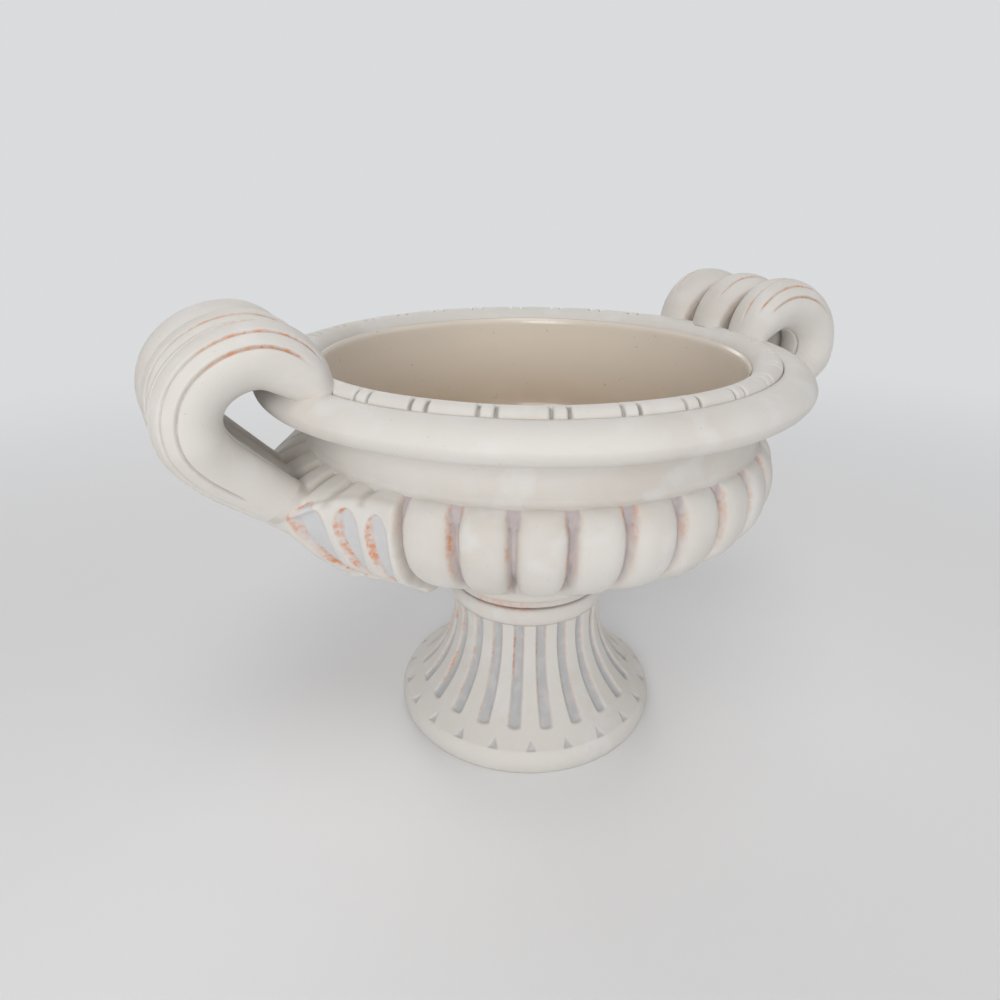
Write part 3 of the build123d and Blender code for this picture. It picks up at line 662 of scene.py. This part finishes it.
def curve(places, values, x):
    """A smooth curve through values at places."""
    slopes = np.gradient(values, places)
    i = np.clip(np.searchsorted(places, x) - 1, 0, len(places) - 2)
    gap = places[i + 1] - places[i]
    t = np.clip((x - places[i]) / gap, 0, 1)
    rise = t * t * (3 - 2 * t)
    bend = gap * (slopes[i] * t * (1 - t) ** 2 - slopes[i + 1] * t * t * (1 - t))
    return values[i] + (values[i + 1] - values[i]) * rise + bend


def fan_share(angle):
    """Share of the way from the handle's root at 0 to the bracket's flank at 1."""
    return np.clip((np.abs(angle) - ROOT_HALF) / (RIB_END - ROOT_HALF), 0, 1)


def fan_radius(angle, z):
    """Radius of the bracket's ribbed outside, before its hollows."""
    crest, _, _ = belly_rows()
    height = (z - FAN_LOW_Z) / (FAN_TOP_Z - FAN_LOW_Z)
    root = curve(FAN_SHARES, FAN_ROOT, height)
    flank = curve(FAN_SHARES, FAN_FLANK, height)
    belly = np.interp(z, crest[:, 1], crest[:, 0])
    rib = belly + flank + (root - flank) * (1 - fan_share(angle)) ** 2.9
    past = np.clip((np.abs(angle) - RIB_END) / (BRACKET_HALF - RIB_END), 0, 1)
    floor = groove_radius(z)
    return floor + (rib - floor) * np.sqrt(1 - past**2)


def teardrop(angle, z):
    """Depth into the drop-shaped hollows, place across them from -1 to 1, and share of their height."""
    along = np.clip((z - HOLLOW_LOW_Z) / (HOLLOW_TOP_Z - HOLLOW_LOW_Z), 0, 1)
    half = along**0.45 * np.sqrt(1 - along**6) + 1e-6
    place = fan_share(angle) * HOLLOWS % 1 * 2 - 1
    inside = (half - np.abs(place)) * (np.abs(angle) > ROOT_HALF) * (np.abs(angle) < RIB_END)
    return inside, place, along


def shelf_height(radius):
    """Height of the bracket's rounded top at a radius."""
    share = (radius - BAND_RADIUS) / SHELF_RUN
    return SHELF_Z - SHELF_FALL * share + 4 * SHELF_BOW * share * (1 - share)


def shelf_groove(angle, radius):
    """Mask of the shallow radial grooves on the bracket's top, behind the ribs and between the rolls."""
    nearest = np.round(fan_share(angle) * HOLLOWS) / HOLLOWS * (RIB_END - ROOT_HALF) + ROOT_HALF
    behind_rib = 1 - ramp(0.0, 3.2, np.abs(np.abs(angle) - nearest) * radius)
    between_rolls = 1 - ramp(0.2, 3.6, np.abs(np.abs(angle) - ROOT_HALF * 0.4) * radius)
    return np.maximum(behind_rib * (np.abs(angle) < RIB_END - 0.06), 1.4 * between_rolls)


def fan_mesh():
    """The closed fan of the right bracket before it is joined to the roll roots."""
    angle = np.linspace(-BRACKET_HALF, BRACKET_HALF, 241)[None, :]
    brink = np.full_like(angle, 143.0)
    for _ in range(6):
        brink = shelf_height(fan_radius(angle, brink))
    corner = FAN_CORNER
    low_z = FAN_LOW_Z + corner
    turn = np.linspace(-np.pi / 2, 0, 8)[:-1, None]
    low_radius = fan_radius(angle, low_z + 0 * angle) - corner * (1 - np.cos(turn))
    low_height = low_z + corner * np.sin(turn) + 0 * angle
    side_z = low_z + np.linspace(0, 1, 90)[:, None] * (brink - corner - low_z)
    inside, _, _ = teardrop(angle, side_z)
    side_radius = fan_radius(angle, side_z) - HOLLOW_DEPTH * ramp(0.0, 0.2, inside)
    turn = np.linspace(0, np.pi / 2, 9)[1:, None]
    edge_radius = fan_radius(angle, brink - corner) - corner * (1 - np.cos(turn))
    edge_height = brink - corner + corner * np.sin(turn)
    share = np.linspace(0, 1, 34)[1:, None]
    shelf_radius = edge_radius[-1:] + share * (FAN_INNER - edge_radius[-1:])
    groove = shelf_groove(angle, shelf_radius) * ramp(0.0, 0.45, share)
    edge_lift = edge_height[-1:] - shelf_height(edge_radius[-1:])
    shelf_z = shelf_height(shelf_radius) + (1 - share) ** 4 * edge_lift
    back_z = np.linspace(SHELF_Z, FAN_LOW_Z, 14)[:, None] + 0 * angle
    back_radius = np.minimum(groove_radius(back_z) - 3.5, FAN_INNER)
    radius = np.concatenate([low_radius, side_radius, edge_radius, shelf_radius, back_radius])
    height = np.concatenate([low_height, side_z, edge_height, shelf_z - SHELF_GROOVE * groove, back_z])
    return np.stack([radius * np.cos(angle), radius * np.sin(angle), height], axis=-1)


def add_part(points, faces, caps, parts):
    """Put one closed part into a list of points and faces."""
    start = len(parts[0])
    parts[0].extend((points * MM).tolist())
    parts[1].extend((faces + start).tolist())
    parts[1].extend([[start + i for i in cap] for cap in caps])


def make_brackets():
    """Both brackets: the fan drawn into the roots of the rolls, softened as worked clay is."""
    parts = ([], [])
    fan = fan_mesh()
    rows, columns = fan.shape[:2]
    index = np.arange(rows * columns).reshape(rows, columns)
    up = np.roll(index, -1, axis=0)
    corners = [index[:, :-1], index[:, 1:], up[:, 1:], up[:, :-1]]
    caps = [index[::-1, 0].tolist(), index[:, -1].tolist()]
    add_part(fan.reshape(-1, 3), np.stack(corners, axis=-1).reshape(-1, 4), caps, parts)
    path = loop_path(ROLL_STEP)[-ROOT_ROWS:]
    swell = np.linspace(-1.8, 0.6, len(path))[:, None]
    for place in ROLLS:
        root, _, _ = roll_points(path, place, ROOT_SECTIONS, swell, 0.0)
        root = capped(root)
        add_part(root.reshape(-1, 3), grid_faces(*root.shape[:2], wrap_rows=False), [], parts)
    mesh = bpy.data.meshes.new("bracket_blank")
    mesh.from_pydata(parts[0], [], parts[1])
    blank = bpy.data.objects.new("bracket_blank", mesh)
    bpy.context.scene.collection.objects.link(blank)
    remesh = blank.modifiers.new("clay", "REMESH")
    remesh.mode = "VOXEL"
    remesh.voxel_size = VOXEL_SIZE
    soften = blank.modifiers.new("soften", "SMOOTH")
    soften.factor = 0.5
    soften.iterations = 4
    ready = blank.evaluated_get(bpy.context.evaluated_depsgraph_get()).to_mesh()
    points = np.empty(len(ready.vertices) * 3, dtype=np.float32)
    ready.vertices.foreach_get("co", points)
    points = points.reshape(-1, 3).astype(float) / MM
    faces = np.empty(len(ready.polygons) * 4, dtype=np.int32)
    ready.polygons.foreach_get("vertices", faces)
    faces = faces.reshape(-1, 4)
    bpy.data.objects.remove(blank)
    bpy.data.meshes.remove(mesh)
    masks = bracket_masks(points)
    for side, sign in (("right", 1), ("left", -1)):
        order = faces if sign > 0 else faces[:, ::-1]
        node = f"{side}_handle_bracket"
        make_object(f"{side}_bracket", points * [sign, 1, 1], order, masks, [node])


def bracket_masks(points):
    """Wash, terracotta and hollow masks of a bracket, from where its points lie."""
    angle = np.arctan2(points[:, 1], points[:, 0])
    radius = np.hypot(points[:, 0], points[:, 1])
    height = points[:, 2]
    inside, place, along = teardrop(angle, height)
    outside = ramp(6.0, 4.5, np.abs(fan_radius(angle, height) - radius)) * (height < 144)
    hollow = ramp(0.1, 0.24, inside) * outside
    root_side = (1 - ramp(0.2, 0.5, inside)) * ramp(0.96, 0.8, along) * (place < 0) * 2.4
    far_side = (1 - ramp(0.14, 0.3, inside)) * (place >= 0) * 1.2
    brim = (1 - ramp(0.1, 0.28, inside)) * ramp(0.85, 0.95, along) * 1.2
    edge = np.maximum(np.maximum(root_side, far_side), brim) * ramp(0.0, 0.08, inside) * outside
    on_shelf = ramp(3.5, 2.0, np.abs(height - shelf_height(radius)))
    shelf = shelf_groove(angle, radius) * on_shelf
    flank = ramp(BRACKET_HALF - 0.022, BRACKET_HALF - 0.004, np.abs(angle))
    wash = np.maximum(0.7 * shelf, 0.6 * flank)
    edge = np.maximum(edge, 0.8 * flank * ramp(132, 143, height))
    return {"wash": wash, "rust": edge, "inset": hollow}


def new_material(name):
    """A node material and its principled shader."""
    material = bpy.data.materials.new(name)
    material.use_nodes = True
    return material, material.node_tree, material.node_tree.nodes["Principled BSDF"]


def noise(tree, place, scale, detail):
    """A noise value at a scale, in features per metre."""
    node = tree.nodes.new("ShaderNodeTexNoise")
    node.inputs["Scale"].default_value = scale
    node.inputs["Detail"].default_value = detail
    tree.links.new(place, node.inputs["Vector"])
    return node.outputs["Fac"]


def spread(tree, value, low, high, to_low=0.0, to_high=1.0):
    """A value stretched from one range to another, held at its ends."""
    node = tree.nodes.new("ShaderNodeMapRange")
    node.interpolation_type = "SMOOTHSTEP"
    ends = {"From Min": low, "From Max": high, "To Min": to_low, "To Max": to_high}
    for name, number in ends.items():
        node.inputs[name].default_value = number
    tree.links.new(value, node.inputs["Value"])
    return node.outputs["Result"]


def times(tree, first, second):
    """The product of two values."""
    node = tree.nodes.new("ShaderNodeMath")
    node.operation = "MULTIPLY"
    tree.links.new(first, node.inputs[0])
    tree.links.new(second, node.inputs[1])
    return node.outputs[0]


def tint(tree, factor, under, over):
    """A colour laid over another by a factor; under is a socket or a colour."""
    node = tree.nodes.new("ShaderNodeMix")
    node.data_type = "RGBA"
    node.clamp_factor = True
    tree.links.new(factor, node.inputs[0])
    if isinstance(under, tuple):
        node.inputs[6].default_value = (*under, 1.0)
    else:
        tree.links.new(under, node.inputs[6])
    node.inputs[7].default_value = (*over, 1.0)
    return node.outputs[2]


def mask_value(tree, name):
    """A mask that a piece carries on its points."""
    node = tree.nodes.new("ShaderNodeAttribute")
    node.attribute_name = name
    return node.outputs["Fac"]


def bump(tree, shader, height, strength, distance):
    """Fine relief on a shader."""
    node = tree.nodes.new("ShaderNodeBump")
    node.inputs["Strength"].default_value = strength
    node.inputs["Distance"].default_value = distance
    tree.links.new(height, node.inputs["Height"])
    tree.links.new(node.outputs["Normal"], shader.inputs["Normal"])


# Colours of the clay, its brushing and the glaze, with the glaze's painted shade deep in the bowl
CLAY = (0.74, 0.712, 0.672)
CLAY_DEEP = (0.68, 0.64, 0.585)
CLAY_BLOOM = (0.78, 0.765, 0.745)
SPECK = (0.40, 0.31, 0.23)
INSET = (0.63, 0.64, 0.655)
TERRACOTTA = (0.70, 0.30, 0.145)
GLAZE_HIGH = (0.77, 0.705, 0.62)
GLAZE_DEEP_SHADE = (0.52, 0.41, 0.295)
GLAZE_STREAK = (0.72, 0.655, 0.57)
GLAZE_SPECK = (0.36, 0.25, 0.16)

# The wash in the recesses of each kind of piece; on the rolls it is painted shade in the incised lines
# and in the valleys between them
WASH_AND_SHADE_COLOURS = {
    "foot_clay": (0.53, 0.535, 0.545),
    "bowl_clay": (0.53, 0.475, 0.485),
    "rim_clay": (0.34, 0.32, 0.285),
    "bracket_clay": (0.53, 0.485, 0.43),
    # The roll colour is painted shade, not a wash
    "roll_clay": (0.47, 0.44, 0.395),
}


def clay_material(name, wash):
    """Matte clay with mottling, specks, a wash in the recesses (painted shade on the handle rolls) and
    dry-brushed terracotta.
    """
    material, tree, shader = new_material(name)
    place = tree.nodes.new("ShaderNodeTexCoord").outputs["Object"]
    colour = tint(tree, spread(tree, noise(tree, place, 26, 5), 0.45, 0.72, 0, 0.8), CLAY, CLAY_DEEP)
    colour = tint(tree, spread(tree, noise(tree, place, 55, 6), 0.52, 0.7, 0, 0.7), colour, CLAY_BLOOM)
    specks = spread(tree, noise(tree, place, 900, 2), 0.71, 0.77, 0, 0.3)
    colour = tint(tree, specks, colour, SPECK)
    patchy = spread(tree, noise(tree, place, 170, 5), 0.3, 0.6, 0.62, 1.0)
    colour = tint(tree, times(tree, mask_value(tree, "inset"), patchy), colour, INSET)
    # The wash mask: a real wash in most recesses, and painted shade in the rolls' lines and valleys
    colour = tint(tree, times(tree, mask_value(tree, "wash"), patchy), colour, wash)
    patches = spread(tree, noise(tree, place, 75, 5), 0.44, 0.6, 0.2, 1.0)
    strokes = spread(tree, noise(tree, place, 480, 4), 0.38, 0.62, 0.25, 1.0)
    rust = times(tree, mask_value(tree, "rust"), times(tree, patches, strokes))
    colour = tint(tree, rust, colour, TERRACOTTA)
    tree.links.new(colour, shader.inputs["Base Color"])
    rough = spread(tree, noise(tree, place, 90, 4), 0.3, 0.7, 0.6, 0.8)
    tree.links.new(rough, shader.inputs["Roughness"])
    shader.inputs["Specular IOR Level"].default_value = 0.3
    bump(tree, shader, noise(tree, place, 520, 5), 0.22, 0.0004)
    return material


def glaze_material(name):
    """Glossy ivory glaze, painted browner and darker towards the floor of the bowl as painted shade."""
    material, tree, shader = new_material(name)
    place = tree.nodes.new("ShaderNodeTexCoord").outputs["Object"]
    split = tree.nodes.new("ShaderNodeSeparateXYZ")
    tree.links.new(place, split.inputs[0])
    # Painted shade: the glaze darkens from its upper colour to a deep brown lower in the bowl
    depth = spread(tree, split.outputs["Z"], 0.168, 0.112)
    colour = tint(tree, depth, GLAZE_HIGH, GLAZE_DEEP_SHADE)
    streaks = spread(tree, noise(tree, place, 38, 5), 0.4, 0.75, 0, 0.35)
    colour = tint(tree, streaks, colour, GLAZE_STREAK)
    specks = spread(tree, noise(tree, place, 420, 2), 0.7, 0.77, 0, 0.4)
    colour = tint(tree, specks, colour, GLAZE_SPECK)
    tree.links.new(colour, shader.inputs["Base Color"])
    rough = spread(tree, noise(tree, place, 60, 3), 0.3, 0.7, 0.12, 0.24)
    tree.links.new(rough, shader.inputs["Roughness"])
    bump(tree, shader, noise(tree, place, 45, 2), 0.12, 0.0012)
    return material


# Part of a piece's name, and the slot whose material it wears
KINDS = {
    "foot": "foot_clay",
    "bowl": "bowl_clay",
    "glaze": "lining_glaze",
    "lip": "rim_clay",
    "bead": "rim_clay",
    "roll": "roll_clay",
    "bracket": "bracket_clay",
}


def dress_pieces():
    """Give every piece its material."""
    clays = {name: clay_material(name, wash) for name, wash in WASH_AND_SHADE_COLOURS.items()}
    clays["lining_glaze"] = glaze_material("lining_glaze")
    for piece in bpy.context.scene.objects:
        if piece.type == "MESH" and piece.name not in frame["nodes"]:
            for kind, slot in KINDS.items():
                if kind in piece.name:
                    piece.data.materials.clear()
                    piece.data.materials.append(clays[slot])
                    break


# The photograph's viewpoint, in metres
CAMERA_PLACE = Vector((-0.16588, -0.27608, 0.24744))
CAMERA_FORWARD = Vector((0.43982, 0.80667, -0.39477))
CAMERA_RIGHT = Vector((0.87799, -0.47868, 0.0))
CAMERA_ROLL = -0.004
CAMERA_LENS = 26.57
SENSOR_WIDTH = 36.0


def make_camera():
    """The camera at the photograph's viewpoint."""
    data = bpy.data.cameras.new("camera")
    data.sensor_fit = "HORIZONTAL"
    data.sensor_width = SENSOR_WIDTH
    data.lens = CAMERA_LENS
    data.clip_start = 0.01
    camera = bpy.data.objects.new("camera", data)
    forward = CAMERA_FORWARD.normalized()
    right = CAMERA_RIGHT.normalized()
    up = right.cross(forward).normalized()
    turn = Matrix.Rotation(CAMERA_ROLL, 3, forward)
    axes = [turn @ right, turn @ up, -forward]
    camera.matrix_world = Matrix.Translation(CAMERA_PLACE) @ Matrix(axes).transposed().to_4x4()
    bpy.context.scene.collection.objects.link(camera)
    bpy.context.scene.camera = camera


# Lamps in metres and watts: name, place, size, power and colour
LAMP_TARGET = (0.0, 0.0, 0.12)
WARM = (1.0, 0.985, 0.965)
COOL = (0.96, 0.98, 1.0)
LAMPS = (
    ("key", (-0.68, -0.85, 0.5), 0.5, 5.0, WARM),
    ("top", (-0.3, -0.5, 1.5), 0.8, 5.2, WARM),
    ("fill", (1.1, -0.9, 0.8), 1.0, 2.2, COOL),
    ("back", (0.4, 1.3, 0.9), 1.0, 6.5, WARM),
)


def make_light(name, place, size, power, colour):
    """A soft square lamp that faces the middle of the urn."""
    data = bpy.data.lights.new(name, "AREA")
    data.shape = "SQUARE"
    data.size = size
    data.energy = power
    data.color = colour
    lamp = bpy.data.objects.new(name, data)
    lamp.location = place
    lamp.rotation_euler = (Vector(LAMP_TARGET) - Vector(place)).to_track_quat("-Z", "Y").to_euler()
    bpy.context.scene.collection.objects.link(lamp)


# Colours of the stage, and the distances between which the floor fades into the backdrop
BACKDROP = (0.70, 0.71, 0.72, 1.0)
SKY = (0.88, 0.89, 0.92, 1.0)
SKY_STRENGTH = 0.34
FLOOR_SHADES = ((0.82, 0.82, 0.83), (0.85, 0.85, 0.85))
FLOOR_REACH = 8.0
FADE = (0.22, 0.95)


def background_ray(tree):
    """1 for a ray that sees the background straight, mirrored or through glass."""
    path = tree.nodes.new("ShaderNodeLightPath")
    seen = path.outputs["Is Camera Ray"]
    for kind in ("Is Glossy Ray", "Is Transmission Ray"):
        node = tree.nodes.new("ShaderNodeMath")
        node.operation = "MAXIMUM"
        tree.links.new(seen, node.inputs[0])
        tree.links.new(path.outputs[kind], node.inputs[1])
        seen = node.outputs[0]
    return seen


def make_floor():
    """A plain pale floor that fades into the backdrop."""
    mesh = bpy.data.meshes.new("floor")
    reach = FLOOR_REACH
    corners = [(-reach, -reach, 0), (reach, -reach, 0), (reach, reach, 0), (-reach, reach, 0)]
    mesh.from_pydata(corners, [], [(0, 1, 2, 3)])
    floor = bpy.data.objects.new("floor", mesh)
    bpy.context.scene.collection.objects.link(floor)
    material, tree, shader = new_material("floor")
    place = tree.nodes.new("ShaderNodeTexCoord").outputs["Object"]
    shade = tint(tree, noise(tree, place, 3, 2), *FLOOR_SHADES)
    tree.links.new(shade, shader.inputs["Base Color"])
    shader.inputs["Roughness"].default_value = 0.9
    away = tree.nodes.new("ShaderNodeVectorMath")
    away.operation = "LENGTH"
    tree.links.new(place, away.inputs[0])
    far = times(tree, background_ray(tree), spread(tree, away.outputs["Value"], *FADE))
    haze = tree.nodes.new("ShaderNodeEmission")
    haze.inputs["Color"].default_value = BACKDROP
    blend = tree.nodes.new("ShaderNodeMixShader")
    tree.links.new(far, blend.inputs[0])
    tree.links.new(shader.outputs[0], blend.inputs[1])
    tree.links.new(haze.outputs[0], blend.inputs[2])
    tree.links.new(blend.outputs[0], tree.nodes["Material Output"].inputs["Surface"])
    floor.data.materials.append(material)


def make_world():
    """A soft sky that shows as the pale backdrop."""
    world = bpy.data.worlds.new("studio")
    world.use_nodes = True
    tree = world.node_tree
    sky = tree.nodes["Background"]
    sky.inputs["Color"].default_value = SKY
    sky.inputs["Strength"].default_value = SKY_STRENGTH
    backdrop = tree.nodes.new("ShaderNodeBackground")
    backdrop.inputs["Color"].default_value = BACKDROP
    blend = tree.nodes.new("ShaderNodeMixShader")
    tree.links.new(background_ray(tree), blend.inputs[0])
    tree.links.new(sky.outputs[0], blend.inputs[1])
    tree.links.new(backdrop.outputs[0], blend.inputs[2])
    tree.links.new(blend.outputs[0], tree.nodes["World Output"].inputs["Surface"])
    bpy.context.scene.world = world


make_foot()
make_collar()
make_bowl()
make_lining()
make_lip()
make_bead()
make_rolls()
make_brackets()
dress_pieces()
make_floor()
make_world()
for lamp in LAMPS:
    make_light(*lamp)
make_camera()
bpy.context.scene.view_settings.view_transform = "Standard"
